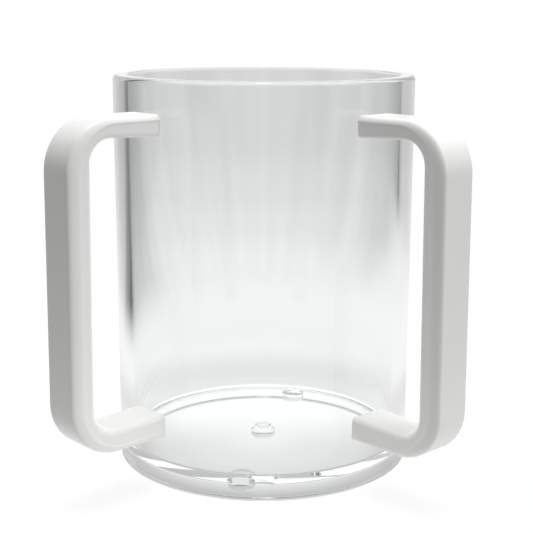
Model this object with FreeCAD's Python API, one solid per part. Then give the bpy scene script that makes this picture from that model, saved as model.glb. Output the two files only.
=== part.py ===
import FreeCAD, Part
import math
import os

# A washing cup with two handles, in millimetres.
# The clear moulded body stands on z = 0 with its axis on +Z.
# The left handle lies along -X and the right handle along -Y, a quarter turn apart.

# Body of the cup
cup_radius = 50.8
cup_height = 132.7
cup_wall = 4.8
rim_outer_bevel = 0.8
rim_inner_bevel = 0.5

# Base of the cup: a foot ring round a recess, with the floor above it
foot_ring_width = 4.8
recess_depth = 4.6
floor_thickness = 2.5
foot_edge_bevel = 0.4
floor_cove_bevel = 0.7

# Round bosses in the recess: two beside the foot ring and the gate boss in the middle
boss_radius = 4.3
boss_height = 2.6
boss_edge_bevel = 0.4
boss_ring_bite = 0.5
boss_azimuths_deg = (30.5, 218.0)
gate_radius = 4.2
gate_height = 2.2

# Pip that the mould leaves on the middle of the floor
pip_radius = 2.9
pip_height = 1.3
pip_edge_bevel = 0.5

# Handles: one flat bar each, bent to a C, its column leaning out a little towards the foot
# Each arm is a little thicker at the wall than where it bends
bar_width = 15.0
column_thickness = 8.0
upper_arm_at_wall = 7.0
upper_arm_at_bend = 5.8
lower_arm_at_wall = 8.0
lower_arm_at_bend = 7.0
bar_outer_round = 1.9
bar_inner_bevel = 1.0
bend_outer_radius = 16.3
bend_inner_radius = 7.5
handle_below_rim = 10.5
handle_above_foot = 17.2
finger_gap_top = 24.9
finger_gap_bottom = 26.3
left_azimuth_deg = 180.0
right_azimuth_deg = 270.0

# Cement between a handle's end and the wall
bond_thickness = 0.25

# How far a cutting or joining shape runs past the faces that it meets
overrun = 1.0

# Places that follow from the sizes above
inner_radius = cup_radius - cup_wall
recess_radius = cup_radius - foot_ring_width
floor_top = recess_depth + floor_thickness
handle_top = cup_height - handle_below_rim
handle_foot = handle_above_foot
bar_start = cup_radius - bar_width
gap_top_radius = cup_radius + finger_gap_top
gap_foot_radius = cup_radius + finger_gap_bottom
seat_radius = cup_radius + bond_thickness
axis_up = FreeCAD.Vector(0, 0, 1)
axis_out = FreeCAD.Vector(1, 0, 0)
axis_aside = FreeCAD.Vector(0, 1, 0)
origin = FreeCAD.Vector(0, 0, 0)


def corner_round(before, corner, after, radius):
    """The arc that rounds a corner between two straight runs."""
    back = (before - corner).normalize()
    on = (after - corner).normalize()
    half_angle = back.getAngle(on) / 2
    run = radius / math.tan(half_angle)
    middle_way = (back + on).normalize()
    centre = corner + middle_way * (radius / math.sin(half_angle))
    return Part.Arc(corner + back * run, centre - middle_way * radius, corner + on * run)


def corner_bevel(before, corner, after, size):
    """The straight line that takes a corner off, by the same size along both runs."""
    back = (before - corner).normalize()
    on = (after - corner).normalize()
    return Part.LineSegment(corner + back * size, corner + on * size)


def eased_wire(corners, closed):
    """A wire through the corners, each given as a point, the size of its easing and the easing's kind."""
    points = [corner[0] for corner in corners]
    edges = []
    reached = None
    for index, (point, size, ease) in enumerate(corners):
        start = end = point
        if size > 0:
            after = points[(index + 1) % len(points)]
            eased = ease(points[index - 1], point, after, size)
            start, end = eased.StartPoint, eased.EndPoint
        if reached is None:
            first = start
        elif reached.distanceToPoint(start) > 0:
            edges.append(Part.LineSegment(reached, start).toShape())
        if size > 0:
            edges.append(eased.toShape())
        reached = end
    if closed:
        edges.append(Part.LineSegment(reached, first).toShape())
    return Part.Wire(edges)


def turned_solid(corners):
    """A solid of revolution about Z from corners, each a radius, a height and a bevel."""
    outline = [(FreeCAD.Vector(radius, 0, height), bevel, corner_bevel) for radius, height, bevel in corners]
    face = Part.Face(eased_wire(outline, closed=True))
    return face.revolve(origin, axis_up, 360)


def tube_shell():
    """The walled body with its rim, floor, recess and foot ring."""
    return turned_solid([
        (0, recess_depth, 0),
        (recess_radius, recess_depth, 0),
        (recess_radius, 0, foot_edge_bevel),
        (cup_radius, 0, foot_edge_bevel),
        (cup_radius, cup_height, rim_outer_bevel),
        (inner_radius, cup_height, rim_inner_bevel),
        (inner_radius, floor_top, floor_cove_bevel),
        (0, floor_top, 0),
    ])


def recess_boss(radius, height):
    """A round boss that hangs from the recess, bevelled at its lower edge."""
    return turned_solid([
        (0, recess_depth - height, 0),
        (radius, recess_depth - height, boss_edge_bevel),
        (radius, recess_depth + floor_thickness / 2, 0),
        (0, recess_depth + floor_thickness / 2, 0),
    ])


def floor_pip():
    """The low pip on the middle of the floor, bevelled at its top edge."""
    return turned_solid([
        (0, floor_top - floor_thickness / 2, 0),
        (pip_radius, floor_top - floor_thickness / 2, 0),
        (pip_radius, floor_top + pip_height, pip_edge_bevel),
        (0, floor_top + pip_height, 0),
    ])


def cup_body():
    """The moulded body: walls, floor and foot ring, with the bosses and the pip fused on."""
    boss_circle = recess_radius - boss_radius + boss_ring_bite
    additions = [recess_boss(gate_radius, gate_height), floor_pip()]
    for azimuth in boss_azimuths_deg:
        boss = recess_boss(boss_radius, boss_height)
        boss.translate(axis_out * boss_circle)
        boss.rotate(origin, axis_up, azimuth)
        additions.append(boss)
    return tube_shell().multiFuse(additions).removeSplitter()


def arm_at_start(at_wall, at_bend, bend_radius):
    """The thickness that an arm would have at its hidden start inside the wall, on the line of its taper."""
    taper_share = (at_wall - at_bend) / (bend_radius - cup_radius)
    return at_wall + taper_share * (cup_radius - bar_start)


def bar_outline():
    """The bar seen from its side: out along the top, down the column and back, and home along the gap."""
    upper_start = arm_at_start(upper_arm_at_wall, upper_arm_at_bend, gap_top_radius)
    lower_start = arm_at_start(lower_arm_at_wall, lower_arm_at_bend, gap_foot_radius)
    return eased_wire([
        (FreeCAD.Vector(bar_start, 0, handle_top), 0, None),
        (FreeCAD.Vector(gap_top_radius + column_thickness, 0, handle_top), bend_outer_radius, corner_round),
        (FreeCAD.Vector(gap_foot_radius + column_thickness, 0, handle_foot), bend_outer_radius, corner_round),
        (FreeCAD.Vector(bar_start, 0, handle_foot), 0, None),
        (FreeCAD.Vector(bar_start, 0, handle_foot + lower_start), 0, None),
        (FreeCAD.Vector(gap_foot_radius, 0, handle_foot + lower_arm_at_bend), bend_inner_radius, corner_round),
        (FreeCAD.Vector(gap_top_radius, 0, handle_top - upper_arm_at_bend), bend_inner_radius, corner_round),
        (FreeCAD.Vector(bar_start, 0, handle_top - upper_start), 0, None),
    ], closed=True)


def long_edges(blank, run):
    """The edges of a blank on both its sides that follow a run of outline edges."""
    found = []
    for edge in blank.Edges:
        middle = edge.valueAt((edge.FirstParameter + edge.LastParameter) / 2)
        if abs(middle.y) > bar_width / 4:
            spot = Part.Vertex(middle.x, 0, middle.z)
            if min(spot.distToShape(line)[0] for line in run) < bond_thickness:
                found.append(edge)
    return found


def bar():
    """The whole bar before its ends are cut: rounded along the outside and bevelled on the fingers' side."""
    outline = bar_outline()
    blank = Part.Face(outline).extrude(axis_aside * bar_width)
    blank.translate(axis_aside * (-bar_width / 2))
    outer_run = outline.Edges[:5]
    inner_run = outline.Edges[6:11]
    rounded = blank.makeFillet(bar_outer_round, long_edges(blank, outer_run))
    return rounded.makeChamfer(bar_inner_bevel, long_edges(rounded, inner_run))


def cup_column(radius):
    """A cylinder on the cup's axis that is taller than the cup, for cutting."""
    return Part.makeCylinder(radius, cup_height + 2 * overrun, origin - axis_up * overrun)


def turned_to(shape, azimuth):
    """The shape turned round the cup's axis to its azimuth."""
    shape.rotate(origin, axis_up, azimuth)
    return shape


def handle(azimuth):
    """A bent bar whose two ends are cut to the round of the wall, less the cement."""
    return turned_to(bar().cut(cup_column(seat_radius)), azimuth)


def bonds(azimuth):
    """The two films of cement between the ends of a handle and the wall, the lower one first."""
    films = bar().common(cup_column(seat_radius)).cut(cup_column(cup_radius))
    return sorted(turned_to(films, azimuth).Solids, key=lambda film: film.CenterOfMass.z)


def build():
    """Every piece of the cup by its name."""
    pieces = {"cup_body": cup_body()}
    for side, azimuth in (("left", left_azimuth_deg), ("right", right_azimuth_deg)):
        pieces[side + "_handle"] = handle(azimuth)
        pieces[side + "_lower_bond"], pieces[side + "_upper_bond"] = bonds(azimuth)
    return pieces


os.makedirs("parts", exist_ok=True)
for name, shape in build().items():
    print(name, "solids", len(shape.Solids), "valid", shape.isValid(), "volume", round(shape.Volume, 1))
    shape.exportStep("parts/" + name + ".step")
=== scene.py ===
# %% [markdown]
# A clear washing cup with two white handles.
# The real cup is one thick-walled clear moulding. Two bent white bars are cemented to it, a quarter turn
# apart, so that each hand can take the cup in turn.
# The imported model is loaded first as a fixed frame. Every piece made here stays in that frame, in metres.

# %% Load the frame
import bpy
import bmesh
import math
from mathutils import Matrix, Vector


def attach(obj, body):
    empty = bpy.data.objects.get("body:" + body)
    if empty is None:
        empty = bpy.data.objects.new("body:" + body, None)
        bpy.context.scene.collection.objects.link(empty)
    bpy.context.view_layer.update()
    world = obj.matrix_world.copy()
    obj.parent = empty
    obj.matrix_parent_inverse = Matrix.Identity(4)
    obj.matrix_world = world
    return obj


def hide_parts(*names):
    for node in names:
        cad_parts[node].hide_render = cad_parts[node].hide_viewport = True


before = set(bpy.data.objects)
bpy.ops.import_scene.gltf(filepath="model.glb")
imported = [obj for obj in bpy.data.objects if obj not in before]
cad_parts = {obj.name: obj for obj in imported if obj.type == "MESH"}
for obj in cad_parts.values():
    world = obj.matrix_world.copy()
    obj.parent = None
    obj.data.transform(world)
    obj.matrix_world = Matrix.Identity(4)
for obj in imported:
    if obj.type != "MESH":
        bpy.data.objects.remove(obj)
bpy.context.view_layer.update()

# %% [markdown]
# The sizes repeat those of the construction, in millimetres, and MM turns them into the frame's metres.
# The clear body is drawn again here with the fine rounds that a polished moulding has at its rim and foot.
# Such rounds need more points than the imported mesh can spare.

# %% Sizes
MM = 0.001
cup_radius = 50.8
cup_height = 132.7
wall_thickness = 4.8
recess_height = 4.6
floor_thickness = 2.5
bond_thickness = 0.25
handle_azimuth = {"left": 180.0, "right": 270.0}
inner_radius = cup_radius - wall_thickness
floor_height = recess_height + floor_thickness
print("cup", cup_radius * 2, "x", cup_height, "mm")

# %% [markdown]
# The camera comes early, because everything after it is judged through it.
# Its place was solved from the rim, the foot and the handles, which are all of known shape.
# It stands two centimetres higher than the rim and looks down by about twelve degrees.

# %% Camera
camera_azimuth = 227.18
camera_distance = 392.3
camera_height = 152.6
look_down = 0.2177
look_aside = 0.0027
lean = 0.0032
focal_pixels = 1145.4
picture_pixels = 533.0
sensor_width = 36.0
nearest_seen = 10.0

ahead = Vector((
    math.sin(look_aside) * math.cos(look_down),
    math.cos(look_aside) * math.cos(look_down),
    -math.sin(look_down),
))
right_hand = Vector((math.cos(look_aside), -math.sin(look_aside), 0.0))
upward = right_hand.cross(ahead)
leaned_right = right_hand * math.cos(lean) + upward * math.sin(lean)
leaned_up = upward * math.cos(lean) - right_hand * math.sin(lean)
pose = Matrix((leaned_right, leaned_up, -ahead)).transposed().to_4x4()
pose.translation = Vector((0.0, -camera_distance * MM, camera_height * MM))
turn = math.radians(camera_azimuth - 270.0)
camera_data = bpy.data.cameras.new("camera")
camera_data.sensor_width = sensor_width
camera_data.lens = sensor_width * focal_pixels / picture_pixels
camera_data.clip_start = nearest_seen * MM
camera = bpy.data.objects.new("camera", camera_data)
bpy.context.collection.objects.link(camera)
camera.matrix_world = Matrix.Rotation(turn, 4, "Z") @ pose
bpy.context.scene.camera = camera
print("lens", round(camera_data.lens, 2), "mm")

# %% [markdown]
# Every node tree below is built by the same small helper.
# It adds a node, sets its properties and its unlinked inputs, and links the others.
# A tree could also be drawn by hand in the editor, but this way it reads as a list of steps.

# %% Node helper
def add_node(tree, kind, inputs=None, **settings):
    node = tree.nodes.new(kind)
    for name, value in settings.items():
        setattr(node, name, value)
    for key, value in (inputs or {}).items():
        usable = [socket for socket in node.inputs if socket.enabled and socket.name == key]
        socket = usable[0] if usable else node.inputs[key]
        if isinstance(value, bpy.types.NodeSocket):
            tree.links.new(value, socket)
        else:
            socket.default_value = value
    return node


def new_material(name):
    material = bpy.data.materials.new(name)
    material.use_nodes = True
    tree = material.node_tree
    tree.nodes.clear()
    return material, tree


print("helper ready")

# %% [markdown]
# A few kinds of node come back again and again, so each has a short function of its own:
# a calculation, a range of values carried to another range, a mix of colours or shaders, and a ramp of greys.
# The functions keep the trees below short enough to read at a glance.

# %% Short names for nodes
def calc(tree, operation, first, second=0.0):
    return add_node(tree, "ShaderNodeMath", {0: first, 1: second}, operation=operation).outputs[0]


def ranged(tree, value, low, high, start=0.0, end=1.0, kind="LINEAR"):
    limits = {"Value": value, "From Min": low, "From Max": high, "To Min": start, "To Max": end}
    return add_node(tree, "ShaderNodeMapRange", limits, interpolation_type=kind).outputs[0]


def mixed_colour(tree, factor, first, second, blend="MIX"):
    inputs = {"Factor": factor, "A": first, "B": second}
    node = add_node(tree, "ShaderNodeMix", inputs, data_type="RGBA", blend_type=blend)
    return [socket for socket in node.outputs if socket.enabled][0]


def mixed_shader(tree, factor, first, second):
    return add_node(tree, "ShaderNodeMixShader", {0: factor, 1: first, 2: second}).outputs[0]


def grey_ramp(tree, value, stops):
    ramp = add_node(tree, "ShaderNodeValToRGB", {0: value})
    ramp.color_ramp.interpolation = "EASE"
    while len(ramp.color_ramp.elements) < len(stops):
        ramp.color_ramp.elements.new(0.5)
    for element, (position, level) in zip(ramp.color_ramp.elements, stops):
        element.position = position
        element.color = grey(level)
    return ramp.outputs[0]


def grey(level):
    return (level, level, level, 1.0)


print("a middle grey", grey(0.5))

# %% [markdown]
# Clear moulded plastic is a smooth glass-like solid.
# A plain glass shader could stand for it, but no moulding is optically flat, and that is what looks real.
# A very slow waviness bends what is seen through the wall, and handling leaves faint marks in the gloss.
# Real clear plastic throws hardly any shadow. The renderer doesn't follow lamp light through a bent surface,
# so a clear shader stands in for the plastic on shadow rays.

# %% Clear plastic
plastic_index = 1.49


def clear_plastic():
    material, tree = new_material("clear_plastic")
    place = add_node(tree, "ShaderNodeTexCoord").outputs["Object"]
    slow = add_node(tree, "ShaderNodeMapping", {"Vector": place, "Scale": (45.0, 45.0, 12.0)}).outputs[0]
    slow_noise = {"Vector": slow, "Scale": 1.0, "Detail": 1.0, "Roughness": 0.4}
    waves = add_node(tree, "ShaderNodeTexNoise", slow_noise).outputs[0]
    bump = add_node(tree, "ShaderNodeBump", {"Height": waves, "Strength": 0.05, "Distance": 0.0004})
    marks = add_node(tree, "ShaderNodeTexNoise", {"Vector": place, "Scale": 160.0, "Detail": 4.0})
    haze = ranged(tree, marks.outputs[0], low=0.45, high=0.8, start=0.0, end=0.03)
    shader = add_node(tree, "ShaderNodeBsdfPrincipled", {
        "Base Color": (0.98, 0.995, 0.987, 1.0),
        "IOR": plastic_index,
        "Transmission Weight": 1.0,
        "Roughness": haze,
        "Normal": bump.outputs[0],
    })
    passing = add_node(tree, "ShaderNodeBsdfTransparent", {"Color": (0.98, 0.985, 0.983, 1.0)})
    shadow_ray = add_node(tree, "ShaderNodeLightPath").outputs["Is Shadow Ray"]
    both = mixed_shader(tree, shadow_ray, shader.outputs[0], passing.outputs[0])
    add_node(tree, "ShaderNodeOutputMaterial", {"Surface": both})
    return material


clear = clear_plastic()
print("made", clear.name, "with an index of", plastic_index)

# %% [markdown]
# The handles are opaque white plastic with a good gloss.
# One flat white would look like paper, so the white is softly mottled.
# A fine orange-peel bump and a gloss that handling has made uneven do the rest.

# %% White plastic
def white_plastic():
    material, tree = new_material("white_plastic")
    place = add_node(tree, "ShaderNodeTexCoord").outputs["Object"]
    cloud = add_node(tree, "ShaderNodeTexNoise", {"Vector": place, "Scale": 55.0, "Detail": 3.0}).outputs[0]
    tone = mixed_colour(tree, cloud, (0.885, 0.885, 0.865, 1.0), (0.905, 0.905, 0.885, 1.0))
    peel = add_node(tree, "ShaderNodeTexNoise", {"Vector": place, "Scale": 420.0, "Detail": 2.0}).outputs[0]
    bump = add_node(tree, "ShaderNodeBump", {"Height": peel, "Strength": 0.06, "Distance": 0.0003})
    rubbed = ranged(tree, cloud, low=0.3, high=0.7, start=0.14, end=0.22)
    shader = add_node(tree, "ShaderNodeBsdfPrincipled", {
        "Base Color": tone,
        "Roughness": rubbed,
        "IOR": plastic_index,
        "Normal": bump.outputs[0],
    })
    add_node(tree, "ShaderNodeOutputMaterial", {"Surface": shader.outputs[0]})
    return material


white = white_plastic()
print("made", white.name)

# %% [markdown]
# The cement is a film a quarter of a millimetre thick, clear when wet and milky once dry, with tiny bubbles.
# A cell pattern makes the bubbles, because it gives round spots of one size without any geometry.

# %% Cement
def dried_cement():
    material, tree = new_material("cement")
    place = add_node(tree, "ShaderNodeTexCoord").outputs["Object"]
    bubbles = add_node(tree, "ShaderNodeTexVoronoi", {"Vector": place, "Scale": 1400.0}).outputs["Distance"]
    milky = ranged(tree, bubbles, low=0.1, high=0.5, start=0.72, end=0.84)
    tone = add_node(tree, "ShaderNodeCombineColor", {0: milky, 1: milky, 2: milky})
    shader = add_node(tree, "ShaderNodeBsdfPrincipled", {
        "Base Color": tone.outputs[0],
        "Roughness": 0.35,
        "IOR": plastic_index,
    })
    add_node(tree, "ShaderNodeOutputMaterial", {"Surface": shader.outputs[0]})
    return material


cement = dried_cement()
print("made", cement.name)

# %% [markdown]
# The cup and its handles both follow a rule, so Geometry Nodes make them, in two trees of the same plan.
# Each tree starts with a flat sheet of points, sends every point to its place, and welds what then meets.
# These helpers are the steps that both trees share.

# %% Steps of a tree
weld_distance = 0.002 * MM


def new_tree(name, named_inputs, result):
    tree = bpy.data.node_groups.new(name, "GeometryNodeTree")
    for input_name, kind in named_inputs.items():
        tree.interface.new_socket(name=input_name, in_out="INPUT", socket_type="NodeSocket" + kind)
    tree.interface.new_socket(name=result, in_out="OUTPUT", socket_type="NodeSocketGeometry")
    return tree, add_node(tree, "NodeGroupInput").outputs


def read_at(tree, source, value, index):
    inputs = {"Geometry": source, "Value": value, "Index": index}
    node = add_node(tree, "GeometryNodeSampleIndex", inputs, data_type="FLOAT_VECTOR", domain="POINT")
    return node.outputs["Value"]


def sheet_of(tree, across, down):
    inputs = {"Size X": 1.0, "Size Y": 1.0, "Vertices X": across, "Vertices Y": down}
    return add_node(tree, "GeometryNodeMeshGrid", inputs).outputs["Mesh"]


def welded(tree, sheet, places):
    rolled = add_node(tree, "GeometryNodeSetPosition", {"Geometry": sheet, "Position": places}).outputs[0]
    weld = {"Geometry": rolled, "Distance": weld_distance}
    return add_node(tree, "GeometryNodeMergeByDistance", weld).outputs[0]


def finished(tree, shape, finish, result):
    shading = {"Geometry": shape, "Shade Smooth": True}
    smooth = add_node(tree, "GeometryNodeSetShadeSmooth", shading).outputs[0]
    whole = add_node(tree, "GeometryNodeRealizeInstances", {"Geometry": smooth}).outputs[0]
    dressed = add_node(tree, "GeometryNodeSetMaterial", {"Geometry": whole, "Material": finish}).outputs[0]
    add_node(tree, "NodeGroupOutput", {result: dressed})
    return tree


print("weld distance", weld_distance, "m")

# %% [markdown]
# A turned shape follows one rule: a point of the outline is carried round the axis.
# A Screw modifier could do it too, but a tree shows the rule, and its sizes are named inputs.
# The tree reads the outline from the object's own points. Its sheet has one row for each of them
# and one column for each step round. It is rolled up, and its seam and poles are welded.

# %% Turning tree
def turning_tree():
    named_inputs = {"Outline": "Geometry", "Steps": "Int", "Finish": "Material"}
    tree, given = new_tree("Turn outline", named_inputs, "Solid")
    outline, steps = given["Outline"], given["Steps"]
    counted = add_node(tree, "GeometryNodeAttributeDomainSize", {"Geometry": outline}, component="MESH")
    count = counted.outputs["Point Count"]
    sheet = sheet_of(tree, calc(tree, "ADD", steps, 1.0), count)
    index = add_node(tree, "GeometryNodeInputIndex").outputs[0]
    row = calc(tree, "MODULO", index, count)
    column = calc(tree, "FLOOR", calc(tree, "DIVIDE", index, count))
    angle = calc(tree, "MULTIPLY", calc(tree, "DIVIDE", column, steps), math.tau)
    point = add_node(tree, "GeometryNodeInputPosition").outputs[0]
    spot = {"Vector": read_at(tree, outline, point, row), "Angle": angle}
    carried = add_node(tree, "ShaderNodeVectorRotate", spot, rotation_type="Z_AXIS").outputs[0]
    return finished(tree, welded(tree, sheet, carried), given["Finish"], "Solid")


turn_outline = turning_tree()
print("tree", turn_outline.name, len(turn_outline.nodes), "nodes")

# %% [markdown]
# A tree's result is turned into a plain mesh at once, because the export knows no modifiers of this kind.
# The seed object only carries the tree while it grows, and is then removed.

# %% Plain mesh from a tree
def set_tree_inputs(modifier, values):
    for item in modifier.node_group.interface.items_tree:
        if item.item_type == "SOCKET" and item.in_out == "INPUT" and item.name in values:
            modifier[item.identifier] = values[item.name]


def grown(name, base_mesh, tree, values):
    seed = bpy.data.objects.new(name + "_seed", base_mesh)
    bpy.context.collection.objects.link(seed)
    modifier = seed.modifiers.new("grow", "NODES")
    modifier.node_group = tree
    set_tree_inputs(modifier, values)
    seed.update_tag()
    bpy.context.view_layer.update()
    evaluated = seed.evaluated_get(bpy.context.evaluated_depsgraph_get())
    mesh = bpy.data.meshes.new_from_object(evaluated)
    mesh.name = name
    bpy.data.objects.remove(seed)
    piece = bpy.data.objects.new(name, mesh)
    bpy.context.collection.objects.link(piece)
    return piece


def outline_mesh(name, points):
    mesh = bpy.data.meshes.new(name)
    pairs = [(k, k + 1) for k in range(len(points) - 1)]
    mesh.from_pydata([(r * MM, 0.0, z * MM) for r, z in points], pairs, [])
    return mesh


print("a tree grows on a seed object")

# %% [markdown]
# Every grown piece is closed and turned the right way before it is used.
# The count of open edges that this prints should be 0, since a clear solid with a hole in it renders wrongly.
# A real moulding has only a few sharp edges, so the rest are shaded smooth.

# %% Closing a piece
def outward(piece):
    work = bmesh.new()
    work.from_mesh(piece.data)
    bmesh.ops.remove_doubles(work, verts=work.verts, dist=weld_distance)
    bmesh.ops.recalc_face_normals(work, faces=work.faces)
    loose = [edge for edge in work.edges if len(edge.link_faces) != 2]
    volume = round(work.calc_volume(signed=True) * 1e6, 2)
    print(piece.name, "faces", len(work.faces), "open edges", len(loose), "volume cm3", volume)
    work.to_mesh(piece.data)
    work.free()
    return piece


def sharp_over(piece, degrees):
    for polygon in piece.data.polygons:
        polygon.use_smooth = True
    piece.data.set_sharp_from_angle(angle=math.radians(degrees))
    return piece


def one_finish(piece, material):
    piece.data.materials.clear()
    piece.data.materials.append(material)
    for polygon in piece.data.polygons:
        polygon.material_index = 0
    return piece


print("pieces are closed by merging points nearer than", weld_distance, "m")

# %% [markdown]
# Two ways of making a solid serve the whole cup: turning an outline, and combining two solids.
# The exact solver is slower than the others, but its cuts are clean where two curved faces cross.

# %% Turned and combined solids
def turned(name, points, steps):
    values = {"Steps": steps, "Finish": clear}
    return outward(grown(name, outline_mesh(name + "_outline", points), turn_outline, values))


def combined(body, other, operation):
    modifier = body.modifiers.new("combine", "BOOLEAN")
    modifier.operation = operation
    modifier.solver = "EXACT"
    modifier.object = other
    evaluated = body.evaluated_get(bpy.context.evaluated_depsgraph_get())
    mesh = bpy.data.meshes.new_from_object(evaluated)
    body.modifiers.clear()
    body.data = mesh
    bpy.data.objects.remove(other)
    return body


print("solids are turned in steps and combined exactly")

# %% [markdown]
# The outline is drawn with a helper that rounds each corner by its own radius.
# Beside each round it adds one more point on the straight run, a little way off. Without that point
# the smooth shading of the round would spread over the whole flat wall, and a clear wall shows it at once.

# %% Rounded outline
guard = 0.12


def rounded_outline(corners):
    points = []
    last = len(corners) - 1
    for k, (r, z, radius, steps) in enumerate(corners):
        here = Vector((r, z))
        if k in (0, last) or radius == 0:
            points.append(here)
            continue
        back = (Vector(corners[k - 1][:2]) - here).normalized()
        on = (Vector(corners[k + 1][:2]) - here).normalized()
        half = back.angle(on) / 2
        reach = radius / math.tan(half)
        centre = here + (back + on).normalized() * (radius / math.sin(half))
        start, end = here + back * reach, here + on * reach
        sweep = (start - centre).angle_signed(end - centre)
        points.append(start + back * guard)
        for step in range(steps + 1):
            arm = start - centre
            arm.rotate(Matrix.Rotation(-sweep * step / steps, 2))
            points.append(centre + arm)
        points.append(end + on * guard)
    return [(max(p.x, 0.0), p.y) for p in points]


print("one more point", guard, "mm beside each round")

# %% [markdown]
# The wall, rim, floor, recess and foot ring of the real cup come out of one mould, so one outline draws them.
# Each corner is a radius, a height, the radius of its round and the number of steps in that round.
# The outer round of the rim is the widest, because hands meet it there, and light draws it as a bright line.

# %% Outline of the cup
recess_round = 0.5
ring_inner_round = 0.35
ring_outer_round = 0.6
rim_outer_round = 1.4
rim_inner_round = 0.7
floor_round = 1.3

cup_outline = rounded_outline([
    (0.0, recess_height, 0.0, 0),
    (inner_radius, recess_height, recess_round, 6),
    (inner_radius, 0.0, ring_inner_round, 5),
    (cup_radius, 0.0, ring_outer_round, 7),
    (cup_radius, cup_height, rim_outer_round, 12),
    (inner_radius, cup_height, rim_inner_round, 8),
    (inner_radius, floor_height, floor_round, 10),
    (0.0, floor_height, 0.0, 0),
])
print("outline points", len(cup_outline))

# %% [markdown]
# Two round bosses hang under the floor beside the foot ring. A gate boss hangs in the middle, where plastic
# is let into such a mould, and a low pip stands over it.
# Each is turned from its own outline, and ends unseen inside the floor.
# They are joined by a union, because two clear solids that only overlap would show a false surface.

# %% Bosses and pip
boss_radius = 4.3
boss_height = 2.6
boss_ring_bite = 0.5
boss_azimuths = (30.5, 218.0)
gate_radius = 4.2
gate_height = 2.2
boss_round = 0.5
pip_radius = 2.9
pip_height = 1.3
pip_round = 0.6
inside_floor = 5.8
boss_circle = inner_radius - boss_radius + boss_ring_bite
boss_steps = 96


def hanging_boss(name, radius, height):
    foot = recess_height - height
    corners = [(0.0, foot, 0.0, 0), (radius, foot, boss_round, 5)]
    hidden = [(radius, inside_floor, 0.0, 0), (0.0, inside_floor, 0.0, 0)]
    return turned(name, rounded_outline(corners + hidden), boss_steps)


def floor_pip():
    top = floor_height + pip_height
    hidden = [(0.0, inside_floor, 0.0, 0), (pip_radius, inside_floor, 0.0, 0)]
    corners = [(pip_radius, top, pip_round, 6), (0.0, top, 0.0, 0)]
    return turned("pip", rounded_outline(hidden + corners), boss_steps)


def ring_boss(azimuth):
    boss = hanging_boss("boss", boss_radius, boss_height)
    spot = math.radians(azimuth)
    shift = (boss_circle * math.cos(spot) * MM, boss_circle * math.sin(spot) * MM, 0.0)
    boss.data.transform(Matrix.Translation(shift))
    return boss


additions = [ring_boss(azimuth) for azimuth in boss_azimuths]
additions += [hanging_boss("gate_boss", gate_radius, gate_height), floor_pip()]
print("additions", [piece.name for piece in additions])

# %% [markdown]
# The cup is turned in fine steps, because its edge is seen against white as one long smooth curve.
# Only edges sharper than 32 degrees stay sharp: those where a boss meets the ring or the floor.

# %% Clear body
cup_steps = 384
cup = turned("clear_body", cup_outline, cup_steps)
for addition in additions:
    cup = combined(cup, addition, "UNION")
cup = one_finish(sharp_over(outward(cup), degrees=32.0), clear)
print("clear body triangles", sum(len(face.vertices) - 2 for face in cup.data.polygons))

# %% [markdown]
# A handle is one flat bar bent to a C, with its long edges rounded.
# A curve with a bevel would give both sides the same bend. On the real bar they differ: each arm gets
# thinner on its way out from the wall, and the bends are wider outside than inside.
# So each side is a line of its own, and one section is carried along both lines at once. Half of the section
# keeps to the outer line and half to the inner one.
# The inward direction stored with each point says which way the rounds sink, and its length says how deep.

# %% Places on the bar
def vector_sum(tree, first, second):
    return add_node(tree, "ShaderNodeVectorMath", {0: first, 1: second}, operation="ADD").outputs[0]


def scaled(tree, vector, scale):
    return add_node(tree, "ShaderNodeVectorMath", {0: vector, "Scale": scale}, operation="SCALE").outputs[0]


def bar_places(tree, lines, steps, section_index, cap):
    step, inner_step, own_step = steps
    point = add_node(tree, "GeometryNodeInputPosition").outputs[0]
    stored = add_node(tree, "GeometryNodeInputNamedAttribute", {"Name": "inward"}, data_type="FLOAT_VECTOR")
    inward = read_at(tree, lines, stored.outputs[0], own_step)
    section_point = read_at(tree, lines, point, section_index)
    section = add_node(tree, "ShaderNodeSeparateXYZ", {0: section_point}).outputs
    aside = add_node(tree, "ShaderNodeCombineXYZ", {1: section[1]}).outputs[0]
    sunk = scaled(tree, inward, section[2])
    on_line = vector_sum(tree, read_at(tree, lines, point, own_step), sunk)
    both = vector_sum(tree, read_at(tree, lines, point, step), read_at(tree, lines, point, inner_step))
    choice = {"Factor": cap, "A": vector_sum(tree, on_line, aside), "B": scaled(tree, both, 0.5)}
    return add_node(tree, "ShaderNodeMix", choice, data_type="VECTOR").outputs[1]


print("a bar needs an outer line, an inner line and a section")

# %% [markdown]
# The sheet of this tree has one row for each step along the bar and one column for each point of the section.
# One more row at each end is drawn together to the middle of the bar, and so closes it.

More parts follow.
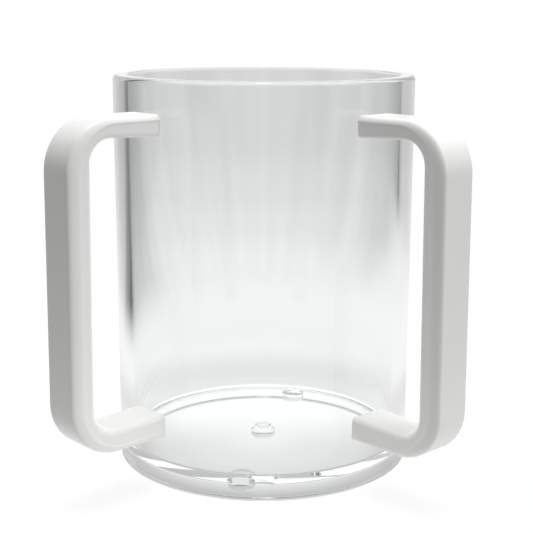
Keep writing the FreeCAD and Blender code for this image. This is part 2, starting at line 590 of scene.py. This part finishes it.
# %% Two-line bar tree
def two_line_tree():
    named_inputs = {
        "Lines": "Geometry",
        "Line points": "Int",
        "Section points": "Int",
        "Azimuth": "Float",
        "Finish": "Material",
    }
    tree, given = new_tree("Bar on two lines", named_inputs, "Bar")
    line_points, section_points = given["Line points"], given["Section points"]
    columns = calc(tree, "ADD", section_points, 1.0)
    sheet = sheet_of(tree, calc(tree, "ADD", line_points, 2.0), columns)
    index = add_node(tree, "GeometryNodeInputIndex").outputs[0]
    row = calc(tree, "FLOOR", calc(tree, "DIVIDE", calc(tree, "ADD", index, 0.5), columns))
    column = calc(tree, "MODULO", calc(tree, "MODULO", index, columns), section_points)
    run = calc(tree, "SUBTRACT", row, 1.0)
    last = calc(tree, "SUBTRACT", line_points, 1.0)
    step = calc(tree, "MINIMUM", calc(tree, "MAXIMUM", run, 0.0), last)
    cap = calc(tree, "GREATER_THAN", calc(tree, "ABSOLUTE", calc(tree, "SUBTRACT", run, step)), 0.5)
    half = calc(tree, "MULTIPLY", section_points, 0.5)
    on_inner = calc(tree, "GREATER_THAN", column, calc(tree, "SUBTRACT", half, 0.5))
    inner_step = calc(tree, "ADD", step, line_points)
    own_step = calc(tree, "ADD", step, calc(tree, "MULTIPLY", on_inner, line_points))
    section_index = calc(tree, "ADD", column, calc(tree, "MULTIPLY", line_points, 2.0))
    places = bar_places(tree, given["Lines"], (step, inner_step, own_step), section_index, cap)
    spin = add_node(tree, "ShaderNodeCombineXYZ", {2: given["Azimuth"]}).outputs[0]
    aimed = {"Geometry": welded(tree, sheet, places), "Rotation": spin}
    bar_there = add_node(tree, "GeometryNodeTransform", aimed).outputs[0]
    return finished(tree, bar_there, given["Finish"], "Bar")


two_line_bar = two_line_tree()
print("tree", two_line_bar.name, len(two_line_bar.nodes), "nodes")

# %% [markdown]
# Both lines are drawn in the plane of the handle, as a radius and a height.
# They have the same number of points, so that each step of one has its partner on the other.
# Of the two numbers for an arm, the first is its thickness at the wall and the second that at the bend.
# Of the two finger gaps, the first is at the top and the second at the foot, so the column leans out.
# The bar starts inside the cup, and the part in there is cut away later.

# %% Lines of the bar
bar_start = 35.0
column_thickness = 8.0
finger_gaps = (24.9, 26.3)
handle_below_rim = 10.5
handle_foot = 17.2
upper_arm = (7.0, 5.8)
lower_arm = (8.0, 7.0)
outer_bend = 16.3
inner_bend = 7.5
bend_steps = 32
handle_top = cup_height - handle_below_rim
inner_reach = [cup_radius + gap for gap in finger_gaps]
outer_reach = [reach + column_thickness for reach in inner_reach]


def thickness_at(arm, reach, radius):
    return arm[0] + (arm[1] - arm[0]) * (radius - cup_radius) / (reach - cup_radius)


def line_of_bar(reaches, heights, start_heights, bend, side):
    points = rounded_outline([
        (bar_start, start_heights[0], 0.0, 0),
        (reaches[0], heights[0], bend, bend_steps),
        (reaches[1], heights[1], bend, bend_steps),
        (bar_start, start_heights[1], 0.0, 0),
    ])
    inwards = []
    for k in range(len(points)):
        before, after = Vector(points[max(k - 1, 0)]), Vector(points[min(k + 1, len(points) - 1)])
        along = (after - before).normalized()
        inwards.append((along.y * side, -along.x * side))
    return points, inwards


def outer_line():
    heights = (handle_top, handle_foot)
    return line_of_bar(outer_reach, heights, heights, outer_bend, -1.0)


def inner_line():
    heights = (handle_top - upper_arm[1], handle_foot + lower_arm[1])
    start_top = handle_top - thickness_at(upper_arm, inner_reach[0], bar_start)
    start_foot = handle_foot + thickness_at(lower_arm, inner_reach[1], bar_start)
    return line_of_bar(inner_reach, heights, (start_top, start_foot), inner_bend, 1.0)


print("arm thickness at the wall", upper_arm[0], lower_arm[0], "mm")

# %% [markdown]
# The long outer edges of the real bar aren't plain rounds. A convex band runs along each, and where it meets
# the side face there is a crease that catches the light. The band is one depth on the arms and gets deeper
# round the bend, down to the column. On the fingers' side the edges are plain rounds.
# The outer half of the section holds shares of the band's depth, so that the band can grow along the bar.
# Both halves have the same number of points, which is how the tree knows where one ends.

# %% Section of the bar
bar_width = 15.0
band_width = 1.75
band_turn = math.radians(70)
band_steps = 16
crease_share = 1.03
lip_share = 1.33
lip = 0.2
inner_round = 1.7
crease_at_arm = 1.65
crease_at_column = 3.4
arm_reach = outer_reach[0] - outer_bend


def crease_depth(radius):
    share = min(max((radius - arm_reach) / (outer_reach[0] - arm_reach), 0.0), 1.0)
    return crease_at_arm + (crease_at_column - crease_at_arm) * share


def both_sides(right_part, direction):
    left_part = [(-y, depth) for y, depth in reversed(right_part)]
    return [(y * direction, depth) for y, depth in left_part + right_part]


def outer_half():
    edge = bar_width / 2
    band = []
    for k in range(band_steps + 1):
        turned_by = band_turn * k / band_steps
        run = math.sin(turned_by) / math.sin(band_turn)
        drop = (1 - math.cos(turned_by)) / (1 - math.cos(band_turn))
        band.append((edge - band_width * (1 - run), drop))
    flat = [(edge - band_width - guard, 0.0)]
    return both_sides(flat + band + [(edge, crease_share), (edge - lip, lip_share)], 1.0)


def inner_half():
    edge = bar_width / 2 - lip
    arc = []
    for k in range(band_steps + 1):
        turned_by = math.pi / 2 * k / band_steps
        arc.append((edge - inner_round * (1 - math.sin(turned_by)), inner_round * (1 - math.cos(turned_by))))
    flat = [(edge - inner_round - 2 * guard, 0.0), (edge - inner_round - guard, 0.0)]
    return both_sides(flat + arc + [(edge, inner_round + guard)], -1.0)


print("section points", len(outer_half()), "outside and", len(inner_half()), "inside")

# %% [markdown]
# The mesh that the tree reads holds three runs of points: the outer line, the inner line and the section.
# The depth of the band goes into the length of the stored inward direction.

# %% Whole bar
def bar_mesh(name):
    outer, outer_in = outer_line()
    inner, inner_in = inner_line()
    section = outer_half() + inner_half()
    mesh = bpy.data.meshes.new(name)
    line_spots = [(r * MM, 0.0, z * MM) for r, z in outer + inner]
    section_spots = [(0.0, y * MM, depth * MM) for y, depth in section]
    mesh.from_pydata(line_spots + section_spots, [], [])
    store = mesh.attributes.new("inward", "FLOAT_VECTOR", "POINT")
    depths = [crease_depth(r) for r, z in outer] + [1.0] * len(inner)
    for k, (r, z) in enumerate(outer_in + inner_in):
        store.data[k].vector = (-r * depths[k], 0.0, -z * depths[k])
    return mesh, len(outer), len(section)


def bar(name, azimuth, finish):
    mesh, line_points, section_points = bar_mesh(name + "_lines")
    values = {
        "Line points": line_points,
        "Section points": section_points,
        "Azimuth": math.radians(azimuth),
        "Finish": finish,
    }
    return outward(grown(name, mesh, two_line_bar, values))


print("points on a line", len(outer_line()[0]))

# %% [markdown]
# Each bar is cut to the curve of the wall, less the thickness of the cement.
# The film of cement is what the same bar has in common with a thin ring at the wall, so it follows both.
# It dips a few hundredths of a millimetre into its neighbours, as cement does, and so no two surfaces
# lie exactly on each other.
# A handle keeps every edge over 13.5 degrees sharp, which leaves the crease of its band crisp.

# %% Handles and films
dip = 0.03
cutter_heights = (-10.0, 150.0)
film_heights = {"upper": (100.0, 140.0), "lower": (0.0, 40.0)}
seat_radius = cup_radius + bond_thickness


def whole_column(radius):
    foot, top = cutter_heights
    return turned("seat", [(0.0, foot), (radius, foot), (radius, top), (0.0, top)], cup_steps)


def wall_ring(foot, top):
    near, far = cup_radius - dip, seat_radius + dip
    return turned("ring", [(near, foot), (far, foot), (far, top), (near, top), (near, foot)], cup_steps)


def handle(side):
    whole_bar = bar(side + "_bar", handle_azimuth[side], white)
    piece = combined(whole_bar, whole_column(seat_radius), "DIFFERENCE")
    return sharp_over(outward(one_finish(piece, white)), degrees=13.5)


def film(side, level):
    whole_bar = bar(side + "_" + level + "_film", handle_azimuth[side], cement)
    piece = combined(whole_bar, wall_ring(*film_heights[level]), "INTERSECT")
    return sharp_over(outward(one_finish(piece, cement)), degrees=40.0)


handles = {side: handle(side) for side in handle_azimuth}
bonded = [(side, level) for side in handle_azimuth for level in film_heights]
films = {side + "_" + level + "_bond": film(side, level) for side, level in bonded}
for side, piece in handles.items():
    corners = [Vector(corner) / MM for corner in piece.bound_box]
    lowest = [round(min(corner[k] for corner in corners), 2) for k in range(3)]
    highest = [round(max(corner[k] for corner in corners), 2) for k in range(3)]
    print(side, "box mm", lowest, highest)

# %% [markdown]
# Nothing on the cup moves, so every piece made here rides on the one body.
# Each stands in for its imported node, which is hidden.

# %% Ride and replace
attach(cup, "root")
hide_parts("cup_body")
for side, piece in handles.items():
    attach(piece, "root")
    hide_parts(side + "_handle")
for node, piece in films.items():
    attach(piece, "root")
    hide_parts(node)
print("pieces ride on root")

# %% [markdown]
# The cup stands on a plain pale table in a plain pale room.
# A clear wall is drawn only by what it bends into view, and in an all-white room it would vanish.
# So the room has soft grey bands round it, as a glass photographer sets grey cards beside a white table.
# They repeat every half turn, so that the cup reads as clear from the other side too.
# Each entry is a direction in degrees and a level of grey. Fine streaks keep the bands from looking painted.

# %% Bands round the room
band_levels = [
    (0, 0.6), (5, 0.8), (22, 0.76), (35, 1.0), (60, 1.0), (74, 0.66), (87, 0.62), (95, 0.18),
    (104, 0.03), (114, 0.12), (130, 0.6), (160, 0.6), (171, 0.05), (177, 0.2), (180, 0.6),
]
streaks_round = 22.0


def angle_of(tree, direction):
    parts = add_node(tree, "ShaderNodeSeparateXYZ", {0: direction}).outputs
    return calc(tree, "ARCTAN2", parts[1], parts[0])


def share_round(tree, angle, whole):
    return calc(tree, "FRACT", calc(tree, "DIVIDE", angle, whole))


def grey_bands(tree, direction):
    angle = angle_of(tree, direction)
    stops = [(degrees / 180.0, level) for degrees, level in band_levels]
    bands = grey_ramp(tree, share_round(tree, angle, math.pi), stops)
    noise = {"W": calc(tree, "MULTIPLY", angle, streaks_round), "Scale": 1.0, "Detail": 2.0}
    streaks = add_node(tree, "ShaderNodeTexNoise", noise, noise_dimensions="1D").outputs[0]
    level = ranged(tree, streaks, low=0.3, high=0.7, start=0.97, end=1.03)
    return mixed_colour(tree, 1.0, bands, level, "MULTIPLY")


print("grey bands", len(band_levels))

# %% [markdown]
# What the plastic bends into view near its foot is the table just beside it, and that part gets painted shade
# and light of its own.
# One ramp changes with the distance in front of the cup, and another behind it. Both are white in the middle.
# Each paints the cup's soft shadow on the table as a grey ring, and both get darker farther off.
# Under the back of the cup lies a pool of extra light, which the foot ring gathers. It is painted in as a
# stronger glow of the table.
# Farther off the grey bands take over, and they start sooner on the left.
# Distances here are in metres, as a shader reads them.

# %% Tone of the table
white_colour = grey(1.0)
# Painted shade: grey levels that paint the cup's shadow on the table as a ring, and the table darker farther
# off.
painted_shade_in_front = [
    (0.0, 1.0), (0.02, 0.89), (0.035, 0.8), (0.048, 0.48), (0.06, 0.72), (0.09, 0.82), (0.13, 0.95),
    (0.2, 0.93), (0.3, 0.88), (0.45, 0.8), (0.6, 0.75), (1.0, 0.69),
]
painted_shade_behind = [
    (0.0, 1.0), (0.045, 1.0), (0.059, 1.0), (0.067, 0.84), (0.09, 0.78), (0.13, 0.93),
    (0.2, 0.93), (0.3, 0.88), (0.45, 0.8), (0.6, 0.75), (1.0, 0.69),
]
toward_the_back = (0.68, 0.73, 0.0)
sooner_on_the_left = (-0.317, 0.68, 0.0)


def along(tree, place, direction):
    inputs = {0: place, 1: direction}
    return add_node(tree, "ShaderNodeVectorMath", inputs, operation="DOT_PRODUCT").outputs["Value"]


def bands_from(tree, place, away):
    reach = calc(tree, "ADD", away, along(tree, place, sooner_on_the_left))
    return ranged(tree, reach, low=0.25, high=0.45, kind="SMOOTHSTEP")


def table_tone(tree, place, away, far, transmitted):
    back = ranged(tree, along(tree, place, toward_the_back), low=-0.01, high=0.03, kind="SMOOTHSTEP")
    in_front = grey_ramp(tree, away, painted_shade_in_front)
    # Painted shade: the cup's shadow on the table, mixed from the ramp in front and the ramp behind.
    painted_shade = mixed_colour(tree, back, in_front, grey_ramp(tree, away, painted_shade_behind))
    bands_seen = calc(tree, "MULTIPLY", far, transmitted)
    banded = mixed_colour(tree, bands_seen, white_colour, grey_bands(tree, place))
    # Painted light: the pool under the back of the cup is a stronger glow of the table, not light from a
    # lamp.
    painted_light_pool = ranged(tree, away, low=0.066, high=0.056, start=1.0, end=1.15)
    lift = {"Factor": back, "A": 1.0, "B": painted_light_pool}
    strength = add_node(tree, "ShaderNodeMix", lift, data_type="FLOAT").outputs[0]
    return mixed_colour(tree, 1.0, painted_shade, banded, "MULTIPLY"), strength


print("levels of the table", len(painted_shade_in_front), "in front and", len(painted_shade_behind), "behind")

# %% [markdown]
# The table looks different to three kinds of ray.
# The camera sees it as white, with the soft shadow under the cup kept.
# Rays that plastic has bent or mirrored see the tone above, with its painted shadow and painted pool of
# light.
# Rays that light the white bars from below see an even glow, brighter near the cup.

# %% Table
half_table = 3.0
table_level = -0.05 * MM
glow_far = grey(0.4)
glow_near = (1.0, 1.0, 0.99, 1.0)
shade_share = 0.14


def emission(tree, colour, strength=1.0):
    return add_node(tree, "ShaderNodeEmission", {"Color": colour, "Strength": strength}).outputs[0]


def bent(tree, path):
    return calc(tree, "MAXIMUM", path["Is Glossy Ray"], path["Is Transmission Ray"])


def pale_table():
    material, tree = new_material("pale_table")
    path = add_node(tree, "ShaderNodeLightPath").outputs
    place = add_node(tree, "ShaderNodeTexCoord").outputs["Object"]
    away = add_node(tree, "ShaderNodeVectorMath", {0: place}, operation="LENGTH").outputs["Value"]
    far = bands_from(tree, place, away)
    tone, strength = table_tone(tree, place, away, far, path["Is Transmission Ray"])
    near_part = ranged(tree, away, low=0.16, high=0.1, kind="SMOOTHSTEP")
    glow = emission(tree, mixed_colour(tree, near_part, glow_far, glow_near))
    shade = add_node(tree, "ShaderNodeBsdfDiffuse", {"Color": grey(shade_share)}).outputs[0]
    lift = emission(tree, white_colour, 1.0 - shade_share)
    shaded = add_node(tree, "ShaderNodeAddShader", {0: shade, 1: lift}).outputs[0]
    seen_table = mixed_shader(tree, far, shaded, emission(tree, white_colour))
    unseen_table = mixed_shader(tree, bent(tree, path), glow, emission(tree, tone, strength))
    both = mixed_shader(tree, path["Is Camera Ray"], unseen_table, seen_table)
    add_node(tree, "ShaderNodeOutputMaterial", {"Surface": both})
    return material


square = [(-1, -1), (1, -1), (1, 1), (-1, 1)]
table_mesh = bpy.data.meshes.new("table")
table_mesh.from_pydata([(x * half_table, y * half_table, table_level) for x, y in square], [], [(0, 1, 2, 3)])
table_mesh.materials.append(pale_table())
table = bpy.data.objects.new("table", table_mesh)
bpy.context.collection.objects.link(table)
print("table", half_table * 2, "m wide")

# %% [markdown]
# The room beyond the table is the world. The camera sees it as plain white.
# Bent rays see walls that are lighter in some directions than in others, and darker higher up.
# Each entry of wall_levels is a direction in degrees and a level of grey, and upper_levels go by height.
# Of the light that falls on the cup from the room nearly all comes from above, as under a pale ceiling.

# %% Room
wall_levels = [
    (0, 0.53), (20, 0.63), (42, 1.0), (95, 0.95), (125, 0.6), (175, 0.6),
    (200, 0.9), (270, 0.84), (315, 0.77), (345, 0.52), (360, 0.53),
]
upper_levels = [(0.0, 0.5), (0.65, 0.5), (0.82, 0.15), (1.0, 0.15)]


def background(tree, colour, strength=1.0):
    return add_node(tree, "ShaderNodeBackground", {"Color": colour, "Strength": strength}).outputs[0]


def pale_room():
    world = bpy.data.worlds.new("pale_room")
    world.use_nodes = True
    tree = world.node_tree
    tree.nodes.clear()
    path = add_node(tree, "ShaderNodeLightPath").outputs
    ray = add_node(tree, "ShaderNodeTexCoord").outputs["Generated"]
    height = add_node(tree, "ShaderNodeSeparateXYZ", {0: ray}).outputs[2]
    stops = [(degrees / 360.0, level) for degrees, level in wall_levels]
    low_wall = grey_ramp(tree, share_round(tree, angle_of(tree, ray), math.tau), stops)
    up = ranged(tree, height, low=0.26, high=0.42, kind="SMOOTHSTEP")
    wall = mixed_colour(tree, up, low_wall, grey_ramp(tree, height, upper_levels))
    ceiling = ranged(tree, height, low=0.6, high=0.95, start=0.02, end=1.0, kind="SMOOTHSTEP")
    lighting = background(tree, white_colour, ceiling)
    unseen_room = mixed_shader(tree, bent(tree, path), lighting, background(tree, wall))
    both = mixed_shader(tree, path["Is Camera Ray"], unseen_room, background(tree, white_colour))
    add_node(tree, "ShaderNodeOutputWorld", {"Surface": both})
    return world


bpy.context.scene.world = pale_room()
print("world", bpy.context.scene.world.name)

# %% [markdown]
# The light is plain and soft: one broad lamp overhead, and one from the right of the camera.
# The left side of each handle is left to the glow of the table, which is what shapes the white bars.
# A very small lamp gives the rim its sparks, and is the only one that shows in the gloss.

# %% Lamps
aimed_at = Vector((0.0, 0.0, 0.07))


def soft_lamp(name, azimuth, distance, height, width, power, sparkles=False):
    data = bpy.data.lights.new(name, "AREA")
    data.shape = "RECTANGLE"
    data.size = width
    data.size_y = width
    data.energy = power
    lamp = bpy.data.objects.new(name, data)
    bpy.context.collection.objects.link(lamp)
    spot = math.radians(azimuth)
    lamp.location = (distance * math.cos(spot), distance * math.sin(spot), height)
    lamp.rotation_euler = (aimed_at - lamp.location).to_track_quat("-Z", "Y").to_euler()
    lamp.visible_glossy = sparkles
    lamp.visible_transmission = sparkles
    return lamp


soft_lamp("overhead_lamp", azimuth=47.0, distance=0.02, height=1.1, width=0.9, power=9.0)
soft_lamp("right_lamp", azimuth=290.0, distance=1.5, height=0.8, width=0.8, power=10.5)
soft_lamp("spark_lamp", azimuth=47.0, distance=0.1, height=1.1, width=0.1, power=0.8, sparkles=True)

# %% [markdown]
# Colours are shown as they are, with no film look.
# Light that enters a thick clear wall is mirrored inside it many times before it leaves.
# With the usual number of bounces such rays are lost and leave black specks in the foot, so more are allowed.

# %% Settings
many_bounces = 128
scene = bpy.context.scene
scene.view_settings.view_transform = "Standard"
scene.cycles.max_bounces = many_bounces
scene.cycles.glossy_bounces = many_bounces
scene.cycles.transmission_bounces = many_bounces
print("bounces", many_bounces)
